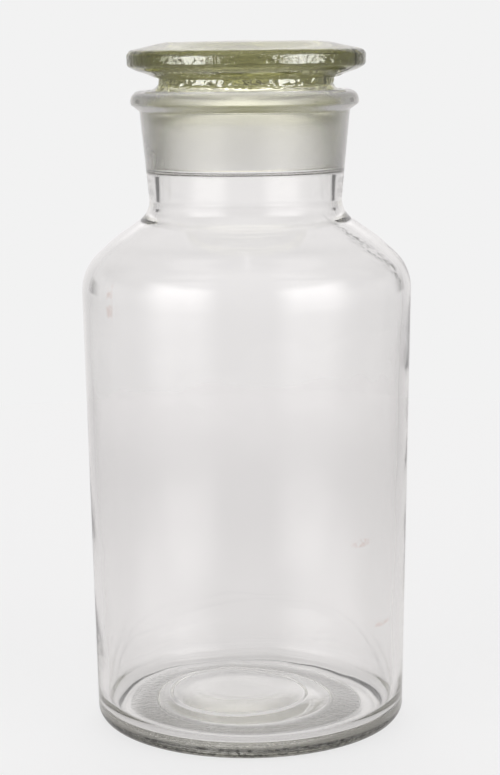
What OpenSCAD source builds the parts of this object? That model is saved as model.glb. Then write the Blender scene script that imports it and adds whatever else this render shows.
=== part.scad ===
// Wide-mouth reagent bottle, one litre, with a flat-headed ground glass stopper.
//
// The bottle stands on the plane z = 0 with its axis along Z. Both pieces are
// turned about that axis, so each one is an outline in (radius, height) that is
// swept through a full turn. The stopper is drawn seated in the neck.
//
// The stopper's plug and the neck's socket are ground to the same cone. The plug
// is a little smaller, so that a thin film of air lies between the two surfaces.

/* [Body] */
// Outside diameter of the body where it meets the shoulder
body_d = 105; // [98:0.1:112]
// Outside diameter of the body at its foot, which is narrower so that it leaves the mould
foot_d = 99.8; // [94:0.1:104]
// Height at which the body's side and the shoulder would meet in a sharp corner
shoulder_z = 147.3; // [120:0.1:200]
// Rounding from the body's side into the shoulder
shoulder_round = 15.5; // [8:0.5:18]
// Rounding of the heel, between the side and the underside
heel_round = 4.6; // [4:0.1:8]

/* [Shoulder and neck] */
// Height from the shoulder's outer corner to the foot of the neck
shoulder_h = 17.8; // [15:0.1:24]
// Outside diameter of the neck at its foot
neck_foot_d = 60.2; // [60:0.1:63]
// Outside diameter of the neck just under the lip
neck_top_d = 66.3; // [65.5:0.1:67]
// Height of the neck from its foot to the underside of the lip
neck_h = 31.7; // [28:0.1:40]

/* [Lip] */
// Outside diameter of the rounded lip
lip_d = 71.9; // [70.5:0.1:76]
// Height of the lip
lip_h = 6.5; // [6:0.1:8]

/* [Glass thickness] */
// Thickness of the side just under the shoulder
wall_top = 2.6; // [2:0.1:3.4]
// Thickness of the side just over the floor
wall_foot = 3.6; // [2.6:0.1:4.4]
// Thickness of the shoulder
shoulder_wall = 2.8; // [2:0.1:3.4]
// Thickness of the floor
floor_t = 4.2; // [3.6:0.1:6]

/* [Underside] */
// Radius of the raised middle of the underside
push_r = 21.8; // [18:0.1:22.5]
// Height of that raised middle over the bearing ring
push_h = 2; // [1.6:0.1:3]
// Inner radius of the bearing ring
bearing_r = 29.2; // [28.6:0.1:31]
// Width of the bearing ring
bearing_w = 4.5; // [3:0.1:7]

/* [Ground joint] */
// Diameter of the socket at the mouth
socket_d = 62; // [61.4:0.1:62.4]
// Length of the ground part of the neck
socket_l = 24.5; // [20:0.5:26]
// Change of diameter for each millimetre of length
taper = 0.1; // [0.08:0.01:0.12]
// Gap between plug and socket, square to the axis
joint_gap = 0.08; // [0.04:0.01:0.1]

/* [Stopper] */
// Diameter of the flat head
head_d = 75; // [72:0.1:84]
// Thickness of the head at its rim
rim_h = 4.7; // [4.2:0.1:8]
// Rise of the head's top from its rim to its middle
crown_h = 3.2; // [2:0.1:4]
// Diameter of the waist between head and plug
waist_d = 54.8; // [50:0.1:56]
// Height of the head's underside over the mouth, at the waist
waist_h = 3.7; // [3:0.1:6]
// Thickness of the plug's wall at its open lower end
plug_wall = 2.6; // [2.2:0.1:3.6]

/* [Hidden] */

// Facets in a full turn, and the widest step of a rounded corner in degrees
$fn = 128;
arc_step = 6;

// Roundings: an edge that is only taken off, one that a flame has softened, the swell
// of the shoulder, the foot of the neck, and the floor where it meets the side
edge_round = 0.6;
soft_round = 1.2;
swell_round = 28;
neck_foot_round = 8;
floor_round = 6;

// The floor's upper side is flat for this width inside that rounding. From there it rises to a
// broad dome, which ends this far inside the raised middle and adds this much to the thickness.
floor_flat_w = 2;
floor_edge_round = 20;
dome_inset = 8;
dome_h = 1;
dome_round = 60;

// Heights that follow from the driving dimensions
neck_foot_z = shoulder_z + shoulder_h;
lip_z = neck_foot_z + neck_h;
mouth_z = lip_z + lip_h;
socket_z = mouth_z - socket_l;
head_z = mouth_z + waist_h;

// The underside rises by this much from the bearing ring to the heel
heel_z = 0.4;
// Two shallow steps lie between the raised middle of the underside and the bearing ring: the first
// one's width and height, and the width of the second
step_w = 0.9;
step_h = 0.6;
groove_w = 1.3;

// The shoulder swells by this much over a straight cone, halfway up
swell = 1;
shoulder_normal = unit([shoulder_h, (body_d - neck_foot_d) / 2]);
shoulder_mid = [(body_d + neck_foot_d) / 4, (shoulder_z + neck_foot_z) / 2] + swell * shoulder_normal;
shoulder_mid_in = shoulder_mid - shoulder_wall * shoulder_normal;

// Shares of the lip's height: its lower corner, and the rounding of its upper one
lip_corner = 0.32;
lip_roundness = 0.52;

// The neck's bore under the ground part, and the height of the ledge that grinding leaves there
neck_bore_d = 54.8;
ledge_h = 0.8;

// The plug reaches from just over the ledge to just under the mouth, and a short slope
// leads from there to the waist, over the mouth
plug_foot_z = socket_z + 0.6;
plug_top_z = mouth_z - 1;
waist_z = mouth_z + 1.3;

// The hollow in the plug, which narrows upwards as the wall thickens
cavity_h = 21.5;
cavity_narrowing = 1.6;
cavity_round = 9;

// The head's underside rises to the rim as a cone and then a chamfer
cone_h = 2.3;
chamfer_h = 1.4;
chamfer_w = 2.9;
cone_round = 3;
rim_z = head_z + cone_h + chamfer_h;
rim_low_round = 1.5;
rim_high_round = 2.2;

// The head's top slopes up from the rim to this radius, and is nearly flat inside it
crown_r = 25.4;
crown_slope_h = 0.85 * crown_h;
crown_round = 14;

function socket_r(z) = (socket_d + taper * (z - mouth_z)) / 2;
function plug_r(z) = socket_r(z) - joint_gap;

function unit(v) = v / norm(v);
function spun(v, angle) = [v[0] * cos(angle) - v[1] * sin(angle), v[0] * sin(angle) + v[1] * cos(angle)];

// The points of the rounded corner at b, on the way from corner a to corner c.
// A corner is [radius from the axis, height, rounding].
function rounded(a, b, c) =
    let (
        to_a = unit([a[0] - b[0], a[1] - b[1]]),
        to_c = unit([c[0] - b[0], c[1] - b[1]]),
        half = acos(to_a * to_c) / 2,
        turn = 180 - 2 * half,
        side = cross(to_a, to_c) > 0 ? -1 : 1,
        middle = [b[0], b[1]] + unit(to_a + to_c) * b[2] / sin(half),
        start = [b[0], b[1]] + to_a * b[2] / tan(half) - middle,
        steps = max(2, ceil(turn / arc_step))
    )
    [for (i = [0:steps]) middle + spun(start, side * turn * i / steps)];

// A closed outline through the corners, each one rounded. One whose rounding is 0 stays sharp.
function outline(corners) =
    let (n = len(corners))
    [
        for (i = [0:n - 1])
            each corners[i][2] == 0
                ? [[corners[i][0], corners[i][1]]]
                : rounded(corners[(i + n - 1) % n], corners[i], corners[(i + 1) % n])
    ];

module turned(corners) {
    rotate_extrude() polygon(outline(corners));
}

// The underside, from the axis outwards to the flat bearing ring that the bottle stands on.
underside = [
    [0, push_h, 0],
    [push_r, push_h, soft_round],
    [push_r + step_w, push_h - step_h, soft_round],
    [bearing_r - groove_w, push_h - step_h, edge_round],
    [bearing_r, 0, soft_round],
    [bearing_r + bearing_w, 0, soft_round],
];

// The outside, from the heel up over the shoulder and neck to the mouth.
outside = [
    [foot_d / 2, heel_z, heel_round],
    [body_d / 2, shoulder_z, shoulder_round],
    [shoulder_mid[0], shoulder_mid[1], swell_round],
    [neck_foot_d / 2, neck_foot_z, neck_foot_round],
    [neck_top_d / 2, lip_z, soft_round],
    [lip_d / 2, lip_z + lip_corner * lip_h, soft_round],
    [lip_d / 2, mouth_z, lip_roundness * lip_h],
];

// The inside, from the mouth down through the ground socket to the middle of the floor.
inside = [
    [socket_r(mouth_z), mouth_z, edge_round],
    [socket_r(socket_z), socket_z, ledge_h / 2],
    [neck_bore_d / 2, socket_z - ledge_h, ledge_h / 2],
    [neck_bore_d / 2, neck_foot_z - shoulder_wall / 2, neck_foot_round],
    [shoulder_mid_in[0], shoulder_mid_in[1], swell_round - shoulder_wall],
    [body_d / 2 - wall_top, shoulder_z - shoulder_wall / 2, shoulder_round - wall_top],
    [foot_d / 2 - wall_foot, floor_t, floor_round],
    [foot_d / 2 - wall_foot - floor_round - floor_flat_w, floor_t, floor_edge_round],
    [push_r - dome_inset, floor_t + push_h + dome_h, dome_round],
    [0, floor_t + push_h + dome_h, 0],
];

module bottle() {
    color([0.86, 0.88, 0.87, 0.5]) turned(concat(underside, outside, inside));
}

// The hollow of the plug, from its roof down to the open end.
plug_inside = [
    [0, plug_foot_z + cavity_h, 0],
    [plug_r(plug_foot_z) - plug_wall - cavity_narrowing, plug_foot_z + cavity_h, cavity_round],
    [plug_r(plug_foot_z) - plug_wall, plug_foot_z, edge_round],
];

// The ground plug, and the waist over it.
plug_outside = [
    [plug_r(plug_foot_z), plug_foot_z, edge_round],
    [plug_r(plug_top_z), plug_top_z, edge_round],
    [waist_d / 2, waist_z, soft_round],
    [waist_d / 2, head_z, edge_round],
];

// The head, a thick round plate with a low crown.
head = [
    [head_d / 2 - chamfer_w, head_z + cone_h, cone_round],
    [head_d / 2, rim_z, rim_low_round],
    [head_d / 2, rim_z + rim_h, rim_high_round],
    [crown_r, rim_z + rim_h + crown_slope_h, crown_round],
    [0, rim_z + rim_h + crown_h, 0],
];

module stopper() {
    color([0.55, 0.54, 0.36, 0.8]) turned(concat(plug_inside, plug_outside, head));
}

bottle();
stopper();
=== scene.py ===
import math

import bpy
from mathutils import Matrix, Vector, noise


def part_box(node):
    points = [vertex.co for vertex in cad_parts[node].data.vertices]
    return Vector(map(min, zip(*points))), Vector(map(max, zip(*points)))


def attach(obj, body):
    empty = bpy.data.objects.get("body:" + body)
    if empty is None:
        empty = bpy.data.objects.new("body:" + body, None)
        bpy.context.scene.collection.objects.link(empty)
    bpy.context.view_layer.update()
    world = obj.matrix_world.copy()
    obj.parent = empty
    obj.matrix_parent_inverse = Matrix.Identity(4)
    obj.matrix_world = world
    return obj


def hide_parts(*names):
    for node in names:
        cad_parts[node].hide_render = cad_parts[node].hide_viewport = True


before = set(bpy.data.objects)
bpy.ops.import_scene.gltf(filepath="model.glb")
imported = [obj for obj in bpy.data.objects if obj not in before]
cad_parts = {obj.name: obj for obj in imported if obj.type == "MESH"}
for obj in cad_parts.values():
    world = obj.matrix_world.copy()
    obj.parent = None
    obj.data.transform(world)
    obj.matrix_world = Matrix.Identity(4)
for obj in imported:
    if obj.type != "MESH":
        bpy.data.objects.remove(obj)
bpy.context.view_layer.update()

MM = 0.001

# ---------------------------------------------------------------- places, from the frame

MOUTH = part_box("bottle")[1].z

# Heights of the neck's and the stopper's parts, measured down or up from the mouth
SOCKET_FOOT = MOUTH - 24.5 * MM
LIP_FOOT = MOUTH - 6.5 * MM
PLUG_TOP = MOUTH - 1 * MM
WAIST_FOOT = MOUTH + 1.3 * MM
WAIST_TOP = MOUTH + 3.7 * MM
RIM_FOOT = MOUTH + 7.4 * MM
RIM_TOP = MOUTH + 12.1 * MM

# Radii of the ring that the bottle stands on
BEARING_IN = 29.2 * MM
BEARING_OUT = 33.7 * MM


# ---------------------------------------------------------------- outlines and turned meshes

# Vertices of one CAD ring are this close to each other in radius and height
RING_GRID = 0.01 * MM

# An outline's leg that is so many times longer than its neighbour is a straight stretch
STRAIGHT = 2.5


def outline_of(node):
    """The outline of a turned CAD node as (radius, height) points, from its lower end on the axis round
    to its upper end on the axis, read from the node's rings of vertices."""
    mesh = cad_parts[node].data
    ring_of, rings = {}, {}
    for v in mesh.vertices:
        r, z = math.hypot(v.co.x, v.co.y), v.co.z
        spot = (round(r / RING_GRID), round(z / RING_GRID))
        near = [(spot[0] + i, spot[1] + j) for i in (0, -1, 1) for j in (0, -1, 1)]
        key = next((n for n in near if n in rings), spot)
        rings.setdefault(key, (r, z))
        ring_of[v.index] = key
    links = {key: set() for key in rings}
    for e in mesh.edges:
        a, b = (ring_of[i] for i in e.vertices)
        if a != b:
            links[a].add(b)
            links[b].add(a)
    ends = sorted((k for k in rings if len(links[k]) == 1), key=lambda k: rings[k][1])
    path, last = [ends[0]], None
    while True:
        onward = [k for k in links[path[-1]] if k != last]
        if not onward:
            break
        last = path[-1]
        path.append(onward[0])
    points = [rings[k] for k in path]
    return [(0.0, points[0][1])] + points + [(0.0, points[-1][1])]


def unit(a, b):
    """The direction from a to b, and how far it is."""
    d = (b[0] - a[0], b[1] - a[1])
    length = math.hypot(*d)
    return (d[0] / length, d[1] / length), length


def tangent_between(leg, following):
    """The curve's direction at the corner between two legs, each a direction and a length."""
    (d1, l1), (d2, l2) = leg, following
    if l1 > STRAIGHT * l2:
        return d1
    if l2 > STRAIGHT * l1:
        return d2
    s = (d1[0] * l2 + d2[0] * l1, d1[1] * l2 + d2[1] * l1)
    size = math.hypot(*s) or 1
    return (s[0] / size, s[1] / size)


def smoothed(points, step):
    """Points along the curve through an outline. Its corners are arcs cut into short chords, so each
    stretch becomes a cubic that leaves and enters along the arc's own direction. step(r, z) is the
    widest distance between points there."""
    legs = [unit(a, b) for a, b in zip(points, points[1:])]
    tangents = [legs[0][0]] + [tangent_between(a, b) for a, b in zip(legs, legs[1:])] + [legs[-1][0]]
    curve = [points[0]]
    for i, (_, length) in enumerate(legs):
        (p, q), (leave, enter) = (points[i], points[i + 1]), (tangents[i], tangents[i + 1])
        steps = max(1, math.ceil(length / step((p[0] + q[0]) / 2, (p[1] + q[1]) / 2)))
        for k in range(1, steps + 1):
            t = k / steps
            h = (2*t**3 - 3*t**2 + 1, t**3 - 2*t**2 + t, -2*t**3 + 3*t**2, t**3 - t**2)
            curve.append(tuple(
                h[0] * p[j] + h[1] * length * leave[j] + h[2] * q[j] + h[3] * length * enter[j]
                for j in (0, 1)
            ))
    return curve


def lathe(name, points, around, far_side, moved):
    """A closed mesh turned from an outline. Points from number far_side on are on its other side, which
    is the inside of the bottle or the outside of the stopper. moved(r, z, angle, other) gives how far a
    point moves out along the surface's normal, and how far it moves in X and Y."""
    verts, faces, sides = [], [], []
    for i in range(1, len(points) - 1):
        (r, z) = points[i]
        (dr, dz), _ = unit(points[i - 1], points[i + 1])
        other = i >= far_side
        for k in range(around):
            angle = 2 * math.pi * k / around
            out, dx, dy = moved(r, z, angle, other)
            ring = r + dz * out
            verts.append((ring * math.cos(angle) + dx, ring * math.sin(angle) + dy, z - dr * out))
            sides.append(1.0 if other else 0.0)
    rows = len(points) - 2
    for i in range(rows - 1):
        for k in range(around):
            j = (k + 1) % around
            faces.append((i * around + k, i * around + j, (i + 1) * around + j, (i + 1) * around + k))
    for (_, z), row, other in ((points[0], 0, False), (points[-1], rows - 1, True)):
        pole = len(verts)
        out, dx, dy = moved(0.0, z, 0.0, other)
        verts.append((dx, dy, z + (out if other else -out)))
        sides.append(1.0 if other else 0.0)
        for k in range(around):
            a, b = row * around + k, row * around + (k + 1) % around
            faces.append((pole, b, a) if row == 0 else (pole, a, b))
    mesh = bpy.data.meshes.new(name)
    mesh.from_pydata(verts, [], faces)
    mesh.shade_smooth()
    side = mesh.attributes.new("other_side", "FLOAT", "POINT")
    side.data.foreach_set("value", sides)
    piece = bpy.data.objects.new(name, mesh)
    bpy.context.scene.collection.objects.link(piece)
    return piece


def ease(x, low, high):
    """0 below low, 1 above high, and smooth between them. high may be the smaller one."""
    t = min(1.0, max(0.0, (x - low) / (high - low)))
    return t * t * (3 - 2 * t)


def band(x, start, full, fading, end):
    """1 from full to fading, 0 before start and past end, and smooth between them."""
    return ease(x, start, full) * (1 - ease(x, fading, end))


# What brings the noise to about -1 to 1, and how far apart in it two seeds are
NOISE_GAIN = 1.6
SEED_APART = (17.3, 5.1, -9.7)


def wave(layer, r, z, angle):
    """Smooth noise over the surface, in millimetres. layer is its height, the width of its bumps in
    millimetres, its seed, and how many times as high as wide the bumps are."""
    height, size, seed, tall = layer
    size *= MM
    spot = (r * math.cos(angle) / size, r * math.sin(angle) / size, z / size / tall)
    spot = Vector([a + seed * b for a, b in zip(spot, SEED_APART)])
    return height * NOISE_GAIN * noise.noise(spot)


def sunk(layer, r, z, angle):
    """A wave that stays under the CAD's surface or only just reaches it."""
    return wave(layer, r, z, angle) - layer[0]


# ---------------------------------------------------------------- the bottle

# Points round the bottle, and the widest step between points along its outline
BOTTLE_AROUND = 216
BOTTLE_STEP = 1.7 * MM

# Waves in the glass, as wave() takes them
INSIDE_WAVES = ((0.16, 38, 1, 1.6), (0.035, 11, 2, 1))
SIDE_WAVE = (0.05, 45, 3, 1.5)
LIP_WAVE = (0.06, 16, 4, 1)

# The inside is calmer in the shoulder and neck than in the body, by this share from the second height
CALM = 0.75
CALM_FROM, CALM_TO = 146 * MM, 156 * MM

# The side's waves start at the foot and are full from this height, and the lip's leave out its inner
# part, up to these radii
SIDE_FULL = 6 * MM
LIP_FROM, LIP_FULL = 31.5 * MM, 33 * MM

# How far in X and Y, in millimetres, the floor's dome, the push-up under it and the bearing ring are
# off the axis, and how far to the left the inside of the body is
DOME_SHIFT = (-3.6, 4.0)
PUSH_UP_SHIFT = (-3.8, 5.5)
RING_SHIFT = (-1.7, 3.2)
BODY_SHIFT = 0.5

# Radii from which the dome's shift fades and at which it ends, from which the push-up's gives way to
# the bearing ring's, and at which that one ends
DOME_FADING, DOME_END = 30 * MM, 46 * MM
PUSH_UP_FADING = 24 * MM
RING_END = 44 * MM

# Heights that the inner floor and the underside lie under, and at which the body's shift fades in and out
FLOOR_TOP = 20 * MM
UNDERSIDE_TOP = 5 * MM
BODY_BAND = (12 * MM, 40 * MM, 110 * MM, 140 * MM)


def bottle_step(r, z):
    return BOTTLE_STEP


def inside_moved(r, z, angle):
    """Waves up to the ground socket, which stays true, and the floor and body off the axis."""
    free = 1 - ease(z, SOCKET_FOOT - 5 * MM, SOCKET_FOOT - 2 * MM)
    calm = 1 - CALM * ease(z, CALM_FROM, CALM_TO)
    out = free * calm * sum(wave(layer, r, z, angle) for layer in INSIDE_WAVES)
    middle = 1 - ease(r, DOME_FADING, DOME_END) if z < FLOOR_TOP else 0.0
    dx, dy = (shift * middle for shift in DOME_SHIFT)
    return out, dx - BODY_SHIFT * band(z, *BODY_BAND), dy


def outside_moved(r, z, angle):
    """Waves in the side, others in the lip, and the underside off the axis."""
    lip = ease(z, LIP_FOOT - 2 * MM, LIP_FOOT + 1 * MM)
    out = (1 - lip) * ease(z, 0, SIDE_FULL) * sunk(SIDE_WAVE, r, z, angle)
    out += lip * ease(r, LIP_FROM, LIP_FULL) * sunk(LIP_WAVE, r, z, angle)
    if z >= UNDERSIDE_TOP:
        return out, 0.0, 0.0
    middle = 1 - ease(r, PUSH_UP_FADING, BEARING_IN)
    ring = band(r, PUSH_UP_FADING, BEARING_IN, BEARING_OUT, RING_END)
    dx, dy = (a * middle + b * ring for a, b in zip(PUSH_UP_SHIFT, RING_SHIFT))
    return out, dx, dy


def bottle_moved(r, z, angle, inside):
    moved = inside_moved(r, z, angle) if inside else outside_moved(r, z, angle)
    return tuple(m * MM for m in moved)


bottle_outline = smoothed(outline_of("bottle"), bottle_step)
mouth_at = max(range(len(bottle_outline)), key=lambda i: bottle_outline[i][1])
bottle = lathe("bottle_glass_body", bottle_outline, BOTTLE_AROUND, mouth_at, bottle_moved)


# ---------------------------------------------------------------- the stopper

# Points round the stopper, the widest step between points along its outline, and the finer one of the
# waist and head, outside that radius
STOPPER_AROUND = 384
STOPPER_STEP = 1.2 * MM
FINE_STEP = 0.33 * MM
FINE_R = 26 * MM

# The mould's two seams: the angle of the one in front, the ridge's height in millimetres and half of
# its width
SEAM = math.radians(-90 + 64)
SEAM_HEIGHT = 0.2
SEAM_HALF_WIDTH = 0.45 * MM

# The head sits this far to the right of the plug, and its rim is this far inside the CAD's, both in
# millimetres
HEAD_SHIFT = 0.6
RIM_DEPTH = 0.12

# Waves in the glass, as wave() takes them
HOLLOW_WAVE = (0.12, 14, 5, 1)
RIM_WAVES = ((0.09, 1.2, 6, 1), (0.06, 3.5, 7, 1))
WAIST_WAVES = ((0.2, 1.2, 8, 1), (0.2, 4, 9, 1))
UNDERSIDE_WAVE = (0.05, 5, 10, 1)
TOP_WAVE = (0.06, 9, 12, 1)

# Heights at which the rim's, the waist's and the underside's fade in and out
RIM_BAND = (RIM_FOOT - 1.2 * MM, RIM_FOOT, RIM_TOP - 0.6 * MM, RIM_TOP + 1.6 * MM)
WAIST_BAND = (WAIST_FOOT - 1 * MM, WAIST_FOOT, WAIST_TOP, WAIST_TOP + 1.6 * MM)
UNDERSIDE_BAND = (WAIST_TOP, WAIST_TOP + 1 * MM, RIM_FOOT - 1.2 * MM, RIM_FOOT)


def stopper_moved(r, z, angle, outside):
    """Waves in the hollow and in the head, and a ridge along each seam. The ground plug stays true."""
    if not outside:
        return wave(HOLLOW_WAVE, r, z, angle) * MM, 0.0, 0.0
    rim, waist, low = band(z, *RIM_BAND), band(z, *WAIST_BAND), band(z, *UNDERSIDE_BAND)
    out = rim * (sum(wave(layer, r, z, angle) for layer in RIM_WAVES) - RIM_DEPTH)
    out += waist * sum(wave(layer, r, z, angle) for layer in WAIST_WAVES)
    out += low * wave(UNDERSIDE_WAVE, r, z, angle)
    out += ease(z, RIM_TOP, RIM_TOP + 1.6 * MM) * sunk(TOP_WAVE, r, z, angle)
    for seam in (SEAM, SEAM + math.pi):
        off = abs((angle - seam + math.pi) % (2 * math.pi) - math.pi) * r
        out += SEAM_HEIGHT * max(rim, low) * max(0.0, 1 - off / SEAM_HALF_WIDTH)
    return out * MM, HEAD_SHIFT * ease(z, MOUTH, WAIST_TOP) * MM, 0.0


def stopper_step(r, z):
    fine = WAIST_FOOT - 1 * MM < z < RIM_TOP + 1.5 * MM and r > FINE_R
    return FINE_STEP if fine else STOPPER_STEP


stopper_outline = smoothed(outline_of("stopper"), stopper_step)
foot_at = min(range(len(stopper_outline)), key=lambda i: stopper_outline[i][1])
stopper = lathe("stopper_glass_head_and_plug", stopper_outline, STOPPER_AROUND, foot_at, stopper_moved)


# ---------------------------------------------------------------- shader nodes

class Nodes:
    """Short ways to add shader nodes to one node tree. Values may be sockets or plain numbers."""

    def __init__(self, tree):
        self.tree = tree

    def add(self, kind, operation=None):
        node = self.tree.nodes.new(kind)
        if operation:
            node.operation = operation
        return node

    def link(self, value, socket):
        if isinstance(value, bpy.types.NodeSocket):
            self.tree.links.new(value, socket)
        else:
            socket.default_value = value

    def math(self, operation, *values):
        node = self.add("ShaderNodeMath", operation)
        for value, socket in zip(values, node.inputs):
            self.link(value, socket)
        return node.outputs[0]

    def vector(self, operation, *values):
        node = self.add("ShaderNodeVectorMath", operation)
        for value, socket in zip(values, node.inputs):
            self.link(value, socket)
        return node.outputs["Vector"]

    def product(self, first, *others):
        for other in others:
            first = self.math("MULTIPLY", first, other)
        return first

    def plus(self, start, value, times):
        """start + value * times"""
        return self.math("MULTIPLY_ADD", value, times, start)

    def less(self, share, amount=1.0):
        """1 - share * amount"""
        return self.math("MULTIPLY_ADD", share, -amount, 1.0)

    def length(self, vector):
        node = self.add("ShaderNodeVectorMath", "LENGTH")
        self.link(vector, node.inputs[0])
        return node.outputs["Value"]

    def scaled(self, colour, factor):
        node = self.add("ShaderNodeVectorMath", "SCALE")
        self.link(colour, node.inputs[0])
        self.link(factor, node.inputs["Scale"])
        return node.outputs["Vector"]

    def axes(self, vector):
        node = self.add("ShaderNodeSeparateXYZ")
        self.link(vector, node.inputs[0])
        return node.outputs

    def turn(self, y, x):
        """The angle of (x, y) from +X, in degrees."""
        return self.math("DEGREES", self.math("ARCTAN2", y, x))

    def ease(self, value, low, high, to_low=0.0, to_high=1.0):
        node = self.add("ShaderNodeMapRange")
        node.interpolation_type = "SMOOTHSTEP"
        for v, name in ((value, "Value"), (low, "From Min"), (high, "From Max"),
                        (to_low, "To Min"), (to_high, "To Max")):
            self.link(v, node.inputs[name])
        return node.outputs["Result"]

    def band(self, value, start, full, fading, end):
        """1 from full to fading, 0 before start and past end, and smooth between them."""
        return self.product(self.ease(value, start, full), self.ease(value, end, fading))

    def noise(self, where, size, detail=2.0, roughness=0.5):
        node = self.add("ShaderNodeTexNoise")
        self.link(where, node.inputs["Vector"])
        node.inputs["Scale"].default_value = 1 / size
        node.inputs["Detail"].default_value = detail
        node.inputs["Roughness"].default_value = roughness
        return node.outputs["Fac"]

    def mix(self, share, a, b):
        """Colour a where share is 0, and colour b where it is 1."""
        node = self.add("ShaderNodeMix")
        node.data_type = "RGBA"
        factor, colour_a, colour_b = node.inputs[0], node.inputs[6], node.inputs[7]
        self.link(share, factor)
        for value, socket in ((a, colour_a), (b, colour_b)):
            self.link((*value, 1) if isinstance(value, tuple) else value, socket)
        return node.outputs[2]

    def bump(self, shader, *layers):
        """Bump from (height in metres, value) layers."""
        normal = None
        for distance, value in layers:
            node = self.add("ShaderNodeBump")
            node.inputs["Distance"].default_value = distance
            node.inputs["Strength"].default_value = 1
            self.link(value, node.inputs["Height"])
            if normal is not None:
                self.link(normal, node.inputs["Normal"])
            normal = node.outputs["Normal"]
        self.link(normal, shader.inputs["Normal"])


# ---------------------------------------------------------------- glass

WHITE = (1.0, 1.0, 1.0)
GLASS_IOR = 1.52

# Light lost for each metre of glass, for red, green and blue
CLEAR_LOSS = (6.0, 6.1, 7.8)
GREEN_LOSS = (11.0, 11.2, 19.0)

# Ground glass: its roughness, the share of the light that it sends back as a white surface would, and
# its grain
GROUND_ROUGHNESS = 0.26
GROUND_WHITENESS = 0.06
GRIT = 0.5 * MM
GRIT_DEPTH = 0.05 * MM

# The worn bearing ring's, the clear side's and the rim's unevenness that is only bump: size and depth
WEAR, WEAR_DEPTH = 1.6 * MM, 0.5 * MM
RIPPLE, RIPPLE_DEPTH = 9 * MM, 0.02 * MM
PEEL, PEEL_DEPTH = 0.9 * MM, 0.22 * MM

# Colours on the glass: stains and smears that cling to it, the head's olive, painted shade at the heel
# (with some grime) and along the seams, and a darker tint on the bearing ring's front. Light that goes
# through takes on their square root.
HEEL_SHADE_AND_GRIME_COLOUR = (0.008, 0.008, 0.0065)
RING_FRONT_COLOUR = (0.5, 0.49, 0.46)
STREAK_COLOUR = (0.12, 0.12, 0.115)
SMEAR_COLOUR = (0.86, 0.72, 0.68)
OLIVE = (0.5, 0.505, 0.34)
SEAM_SHADE_COLOUR = (0.03, 0.03, 0.012)

# The roughness of the stopper's clear glass, and what each of these adds to the bottle's
STOPPER_ROUGHNESS = 0.01
SMUDGE_ROUGHNESS = 0.03
STREAK_ROUGHNESS = 0.12
WORN_ROUGHNESS = 0.45
HEEL_ROUGHNESS = 0.06
PUSH_UP_ROUGHNESS = 0.16

# The dried streak on the right of the shoulder: angles from +X over which it fades in and out, angles
# and heights that it slopes between, half its height, and how long its strokes are for each degree
STREAK_TURNS = (-38, -32, -25, -19)
STREAK_SLOPE = (-42, -14, 163 * MM, 142 * MM)
STREAK_HALF = (6 * MM, 2 * MM)
STROKE_LENGTH = math.radians(24) * MM

# Faint reddish smears on the body: angle from +X, height, and half their width and height, in degrees
# and millimetres
SMEARS = ((-143, 140, 2.5, 8), (-47, 66, 6, 1.6), (-34, 38, 7, 1.2))


def glass(name, loss):
    """A glass material, its node helper and shader, the position in the piece, and the mask of the
    piece's other side."""
    material = bpy.data.materials.new(name)
    material.use_nodes = True
    n = Nodes(material.node_tree)
    shader = material.node_tree.nodes["Principled BSDF"]
    shader.inputs["Transmission Weight"].default_value = 1
    shader.inputs["IOR"].default_value = GLASS_IOR
    volume = n.add("ShaderNodeVolumeAbsorption")
    # the density is a little over the greatest loss, so that no part of the colour is 0
    density = max(loss) * 1.05
    volume.inputs["Color"].default_value = (*(1 - a / density for a in loss), 1)
    volume.inputs["Density"].default_value = density
    n.link(volume.outputs["Volume"], material.node_tree.nodes["Material Output"].inputs["Volume"])
    side = n.add("ShaderNodeAttribute")
    side.attribute_name = "other_side"
    return material, n, shader, n.add("ShaderNodeTexCoord").outputs["Object"], side.outputs["Fac"]


def streak_on(n, where, turn, z):
    """The mask of the dried streak, which is made of short strokes with gaps."""
    over = n.math("SUBTRACT", z, n.ease(turn, *STREAK_SLOPE))
    streak = n.product(n.band(turn, *STREAK_TURNS), n.ease(n.math("ABSOLUTE", over), *STREAK_HALF))
    along = n.add("ShaderNodeCombineXYZ")
    n.link(n.math("MULTIPLY", turn, STROKE_LENGTH), along.inputs["X"])
    n.link(over, along.inputs["Y"])
    strokes = n.ease(n.noise(along.outputs[0], 2.2 * MM, 4, 0.7), 0.4, 0.56)
    gaps = n.ease(n.noise(where, 2 * MM, 4, 0.7), 0.44, 0.56)
    return n.product(streak, strokes, gaps)


def smears_on(n, where, turn, z):
    """The mask of the reddish smears."""
    smears = 0.0
    for angle, height, half_angle, half_height in SMEARS:
        across = n.math("DIVIDE", n.math("SUBTRACT", turn, angle), half_angle)
        along = n.math("DIVIDE", n.math("SUBTRACT", z, height * MM), half_height * MM)
        far = n.math("ADD", n.math("MULTIPLY", across, across), n.math("MULTIPLY", along, along))
        smears = n.math("ADD", smears, n.ease(far, 1.0, 0.2))
    return n.product(smears, n.ease(n.noise(where, 3 * MM, 4, 0.65), 0.42, 0.6))


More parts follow.
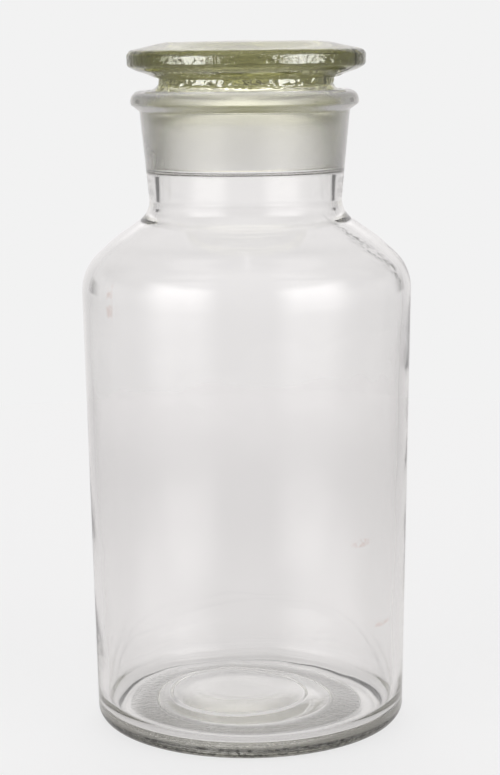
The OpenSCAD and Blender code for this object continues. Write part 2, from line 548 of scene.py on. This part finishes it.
def bottle_glass():
    material, n, shader, where, inside = glass("bottle_clear_glass", CLEAR_LOSS)
    x, y, z = n.axes(where)
    outside = n.less(inside)
    away = n.length(n.vector("MULTIPLY_ADD", where, (1, 1, 0), tuple(-s * MM for s in RING_SHIFT) + (0,)))

    # the ground socket, whose lower edge wanders by 0.6 mm
    edge = n.math("ADD", z, n.math("MULTIPLY_ADD", n.noise(where, 5 * MM, 4, 0.6), 1.2 * MM, -0.6 * MM))
    ground = n.product(inside, n.ease(edge, SOCKET_FOOT - 1.6 * MM, SOCKET_FOOT - 1.1 * MM),
                       n.ease(z, MOUTH - 0.5 * MM, MOUTH - 0.8 * MM))

    # the underside: the worn bearing ring, the heel round it, and the flat middle of the push-up
    under = n.product(outside, n.ease(z, 1.6 * MM, 0.6 * MM))
    worn = n.product(under, n.band(away, BEARING_IN - 5 * MM, BEARING_IN - 3 * MM,
                                   BEARING_OUT + 2.5 * MM, BEARING_OUT + 5 * MM))
    heel = n.product(under, n.ease(away, BEARING_OUT, BEARING_OUT + 3 * MM))
    push_up = n.product(outside, n.ease(z, 3 * MM, 2.5 * MM), n.ease(away, 21.5 * MM, 19 * MM))

    # what darkens it: painted shade round the heel, where rays from outside meet it, with some grime, and
    # a darker tint on the front of the bearing ring
    heel_shade_and_grime = n.product(outside, n.ease(z, 5 * MM, 4.2 * MM), n.ease(away, 44 * MM, 47 * MM),
                      n.ease(n.noise(where, 1.5 * MM, 3), 0.35, 0.65, 0.7, 1.0),
                      n.less(n.add("ShaderNodeNewGeometry").outputs["Backfacing"]))
    ring_front_tint = n.product(worn, n.ease(y, 5 * MM, -15 * MM),
                     n.ease(n.noise(where, 3 * MM, 3), 0.3, 0.7, 0.6, 1.0))
    turn = n.turn(y, x)
    streak = streak_on(n, where, turn, z)
    # the colour takes the painted heel shade, the ring's darker front, the streak and the smears
    colour = n.mix(heel_shade_and_grime, WHITE, HEEL_SHADE_AND_GRIME_COLOUR)
    colour = n.mix(ring_front_tint, colour, RING_FRONT_COLOUR)
    colour = n.mix(streak, colour, STREAK_COLOUR)
    colour = n.mix(n.product(smears_on(n, where, turn, z), outside), colour, SMEAR_COLOUR)
    n.link(colour, shader.inputs["Base Color"])

    rough = n.ease(n.noise(where, 24 * MM, 3), 0.52, 0.75, 0.0, SMUDGE_ROUGHNESS)
    for mask, roughness in ((ground, GROUND_ROUGHNESS), (streak, STREAK_ROUGHNESS), (worn, WORN_ROUGHNESS),
                            (heel, HEEL_ROUGHNESS), (push_up, PUSH_UP_ROUGHNESS)):
        rough = n.plus(rough, mask, roughness)
    n.link(rough, shader.inputs["Roughness"])
    n.link(n.less(ground, GROUND_WHITENESS), shader.inputs["Transmission Weight"])
    n.bump(shader, (GRIT_DEPTH, n.product(n.noise(where, GRIT, 2), ground)),
           (WEAR_DEPTH, n.product(n.noise(where, WEAR, 4, 0.6), worn)),
           (RIPPLE_DEPTH, n.noise(where, RIPPLE, 1)))
    return material


def stopper_glass():
    material, n, shader, where, outside = glass("stopper_green_glass", GREEN_LOSS)
    x, y, z = n.axes(where)
    ground = n.product(outside, n.ease(z, PLUG_TOP + 0.1 * MM, PLUG_TOP - 0.3 * MM))
    n.link(n.plus(STOPPER_ROUGHNESS, ground, GROUND_ROUGHNESS), shader.inputs["Roughness"])
    n.link(n.less(ground, GROUND_WHITENESS), shader.inputs["Transmission Weight"])

    # the head is olive on the outside, with a dark line painted along each of the mould's seams as the
    # shade at the ridge's edge
    head = n.product(outside, n.band(z, WAIST_FOOT, WAIST_FOOT + 0.8 * MM,
                                     RIM_TOP - 0.4 * MM, RIM_TOP + 0.6 * MM))
    off = n.math("ABSOLUTE", n.math("SUBTRACT", n.math("MULTIPLY", x, math.sin(SEAM)),
                                    n.math("MULTIPLY", y, math.cos(SEAM))))
    # a painted dark line along each seam, standing in for shade
    seam_shade = n.product(head, n.ease(off, 1.2 * MM, 0.7 * MM))
    n.link(n.mix(seam_shade, n.mix(head, WHITE, OLIVE), SEAM_SHADE_COLOUR), shader.inputs["Base Color"])

    rim = n.band(z, RIM_FOOT - 1 * MM, RIM_FOOT, RIM_TOP - 0.5 * MM, RIM_TOP + 1.5 * MM)
    n.bump(shader, (GRIT_DEPTH, n.product(n.noise(where, GRIT, 2), ground)),
           (PEEL_DEPTH, n.product(n.noise(where, PEEL, 3), rim)))
    return material


bottle.data.materials.append(bottle_glass())
stopper.data.materials.append(stopper_glass())
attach(bottle, "bottle")
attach(stopper, "stopper")
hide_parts("bottle")
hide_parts("stopper")


# ---------------------------------------------------------------- stage, light and camera

# Brightness of the floor and backdrop where the camera looks straight at them
BACKDROP = 0.888

FLOOR_R = 0.6
FLOOR_Z = -0.2 * MM
FLOOR_AROUND = 96

# The share of the floor's brightness that is its own, in glass and seen directly, and the light that
# falls on the floor from the room
FLOOR_GLOW = 0.72
SEEN_GLOW = 0.84
FLOOR_LIGHT = 0.770

# The floor under the bottle, in glass: the radii at which each shade fades in and out, and how dark
SHADE_RING = (23.5 * MM, 25.5 * MM, 35 * MM, 38 * MM)
SHADE_RING_DEPTH = 0.5
SHADE_HEEL = (46.5 * MM, 48 * MM, 52 * MM, 56 * MM)
SHADE_HEEL_DEPTH = 0.2
SHADE_MIDDLE = (25 * MM, 23 * MM)
SHADE_MIDDLE_DEPTH = 0.15

ROOM_TINT = (1.0, 0.98, 0.985)

# The two lamps that light the stopper: width and height, radiance, and their azimuth from the front,
# angle over its level (degrees) and distance
SOFTBOX_SIZE = (1.0, 0.7)
SOFTBOX_RADIANCE = 15.0
SOFTBOX_AZIMUTH = 54
SOFTBOX_RISE = 4
SOFTBOX_AWAY = 1.4

# The camera: its place and lens in millimetres, and its tilt down and roll in degrees
CAMERA_PLACE = (0.8, -637.5, 217.3)
CAMERA_DOWN = 9.7
CAMERA_ROLL = -0.55
CAMERA_LENS = 93.37


def seen(n, direct, other):
    """direct where the camera looks straight at it, and other in glass."""
    return n.mix(n.add("ShaderNodeLightPath").outputs["Is Camera Ray"], other, direct)


def lit_side(n, x, y):
    """The azimuth in degrees, 0 in front and 180 behind, alike on both sides; and a mask that is 1
    towards the two soft lights, which stand left and right of the front."""
    azimuth = n.turn(n.math("ABSOLUTE", x), n.math("MULTIPLY", y, -1))
    return azimuth, n.band(azimuth, 16, 40, 62, 90)


def floor():
    """A pale round floor that glows a little, so that the shadow on it is faint."""
    mesh = bpy.data.meshes.new("floor")
    angles = [2 * math.pi * k / FLOOR_AROUND for k in range(FLOOR_AROUND)]
    edge = [(FLOOR_R * math.cos(a), FLOOR_R * math.sin(a), FLOOR_Z) for a in angles]
    mesh.from_pydata(edge, [], [tuple(range(FLOOR_AROUND))])
    disc = bpy.data.objects.new("floor", mesh)
    bpy.context.scene.collection.objects.link(disc)
    material = bpy.data.materials.new("floor_paper")
    material.use_nodes = True
    n = Nodes(material.node_tree)
    shader = material.node_tree.nodes["Principled BSDF"]
    shader.inputs["Specular IOR Level"].default_value = 0
    shader.inputs["Roughness"].default_value = 0.9
    shader.inputs["Emission Strength"].default_value = 1
    where = n.add("ShaderNodeTexCoord").outputs["Object"]
    away = n.length(where)
    x, y, _ = n.axes(where)

    # painted into its glow: lighter at its edge and near the bottle, darker to the sides, and a painted
    # pool of light towards the soft lights
    _, lit = lit_side(n, x, y)
    tone = n.ease(away, 0.33, FLOOR_R, 0.735, 0.82)
    tone = n.math("ADD", n.ease(away, 0.28, 0.1, 0.0, 0.05), tone)
    tone = n.plus(tone, n.ease(n.math("ABSOLUTE", x), 0.12, 0.42), -0.2)
    painted_light_pool = n.product(n.ease(away, 0.08, 0.15), n.ease(away, 0.4, 0.25, 0.25, 0.7))
    tone = n.scaled(ROOM_TINT, n.math("ADD", n.product(lit, painted_light_pool), tone))

    # painted shadow in the glow under the bottle: darker under its middle, bearing ring and heel
    glow = n.product(n.less(n.band(away, *SHADE_RING), SHADE_RING_DEPTH),
                     n.less(n.band(away, *SHADE_HEEL), SHADE_HEEL_DEPTH))
    glow = n.product(n.plus(glow, n.ease(away, *SHADE_MIDDLE), -SHADE_MIDDLE_DEPTH), FLOOR_GLOW)
    n.link(seen(n, (BACKDROP * SEEN_GLOW,) * 3, n.scaled(tone, glow)), shader.inputs["Emission Color"])
    direct = (BACKDROP * (1 - SEEN_GLOW) / FLOOR_LIGHT,) * 3
    n.link(seen(n, direct, n.scaled(tone, (1 - FLOOR_GLOW) / FLOOR_LIGHT)), shader.inputs["Base Color"])
    mesh.materials.append(material)


def studio():
    """A pale room with a wide soft light on each side of the front and a pale screen behind, and
    darker in between. The numbers are angles in degrees and brightnesses."""
    world = bpy.data.worlds.new("studio")
    bpy.context.scene.world = world
    world.use_nodes = True
    n = Nodes(world.node_tree)
    x, y, z = n.axes(n.add("ShaderNodeTexCoord").outputs["Generated"])
    rise = n.math("DEGREES", n.math("ARCSINE", z))
    azimuth, lit = lit_side(n, x, y)

    # the screen behind, the sides and the front, all darker under the floor's level
    room = n.math("ADD", n.ease(azimuth, 140, 172, 0.68, 0.88), n.ease(azimuth, 140, 112, 0.0, -0.16))
    room = n.plus(room, n.ease(azimuth, 60, 20), 0.12)
    gap = n.product(n.band(azimuth, 127, 134, 139.5, 144.5), n.band(rise, -5, -2, 6, 10))
    high = n.product(n.band(azimuth, 55, 80, 125, 150), n.ease(rise, 12, 25))
    room = n.product(room, n.less(gap, 0.85), n.ease(rise, -10, -4, 0.935, 1.0), n.less(high, 0.5))

    # the upper part of the screen
    room = n.plus(room, n.product(n.ease(azimuth, 156, 168), n.ease(rise, 9, 18)), 0.4)
    room = n.plus(room, n.product(n.ease(azimuth, 154, 168), n.band(rise, 27, 38, 50, 60)), 1.2)

    # the soft lights, and their weaker lower parts
    room = n.plus(room, n.product(lit, n.band(rise, -3, 24, 32, 39)), 1.9)
    room = n.plus(room, n.product(lit, n.band(rise, -13, -6, 0, 20)), 1.0)
    background = world.node_tree.nodes["Background"]
    n.link(seen(n, (BACKDROP,) * 3, n.scaled(ROOM_TINT, room)), background.inputs["Color"])


def softboxes():
    """The bright middles of the two soft lights, which light only the stopper."""
    lit = bpy.data.collections.new("stopper_light")
    lit.objects.link(stopper)
    for side in (-1, 1):
        data = bpy.data.lights.new("softbox", "AREA")
        data.shape = "RECTANGLE"
        data.size, data.size_y = SOFTBOX_SIZE
        data.energy = SOFTBOX_RADIANCE * math.pi * data.size * data.size_y
        lamp = bpy.data.objects.new("softbox", data)
        bpy.context.scene.collection.objects.link(lamp)
        azimuth, rise = math.radians(SOFTBOX_AZIMUTH) * side, math.radians(SOFTBOX_RISE)
        level = math.cos(rise)
        away = Vector((math.sin(azimuth) * level, -math.cos(azimuth) * level, math.sin(rise)))
        lamp.location = away * SOFTBOX_AWAY + Vector((0, 0, MOUTH))
        lamp.rotation_euler = away.to_track_quat("Z", "Y").to_euler()
        lamp.visible_camera = False
        lamp.light_linking.receiver_collection = lit


def camera():
    data = bpy.data.cameras.new("camera")
    data.sensor_width = 36
    data.lens = CAMERA_LENS
    data.clip_start = 0.01
    view = bpy.data.objects.new("camera", data)
    bpy.context.scene.collection.objects.link(view)
    view.location = [c * MM for c in CAMERA_PLACE]
    view.rotation_mode = "XYZ"
    down = math.radians(CAMERA_DOWN)
    turn = Vector((0, math.cos(down), -math.sin(down))).to_track_quat("-Z", "Y").to_matrix()
    view.rotation_euler = (turn @ Matrix.Rotation(math.radians(CAMERA_ROLL), 3, "Z")).to_euler()
    bpy.context.scene.camera = view


floor()
studio()
softboxes()
camera()

scene = bpy.context.scene
scene.view_settings.view_transform = "Standard"
scene.cycles.max_bounces = 48
scene.cycles.transmission_bounces = 48
scene.cycles.glossy_bounces = 16
scene.cycles.use_denoising = True
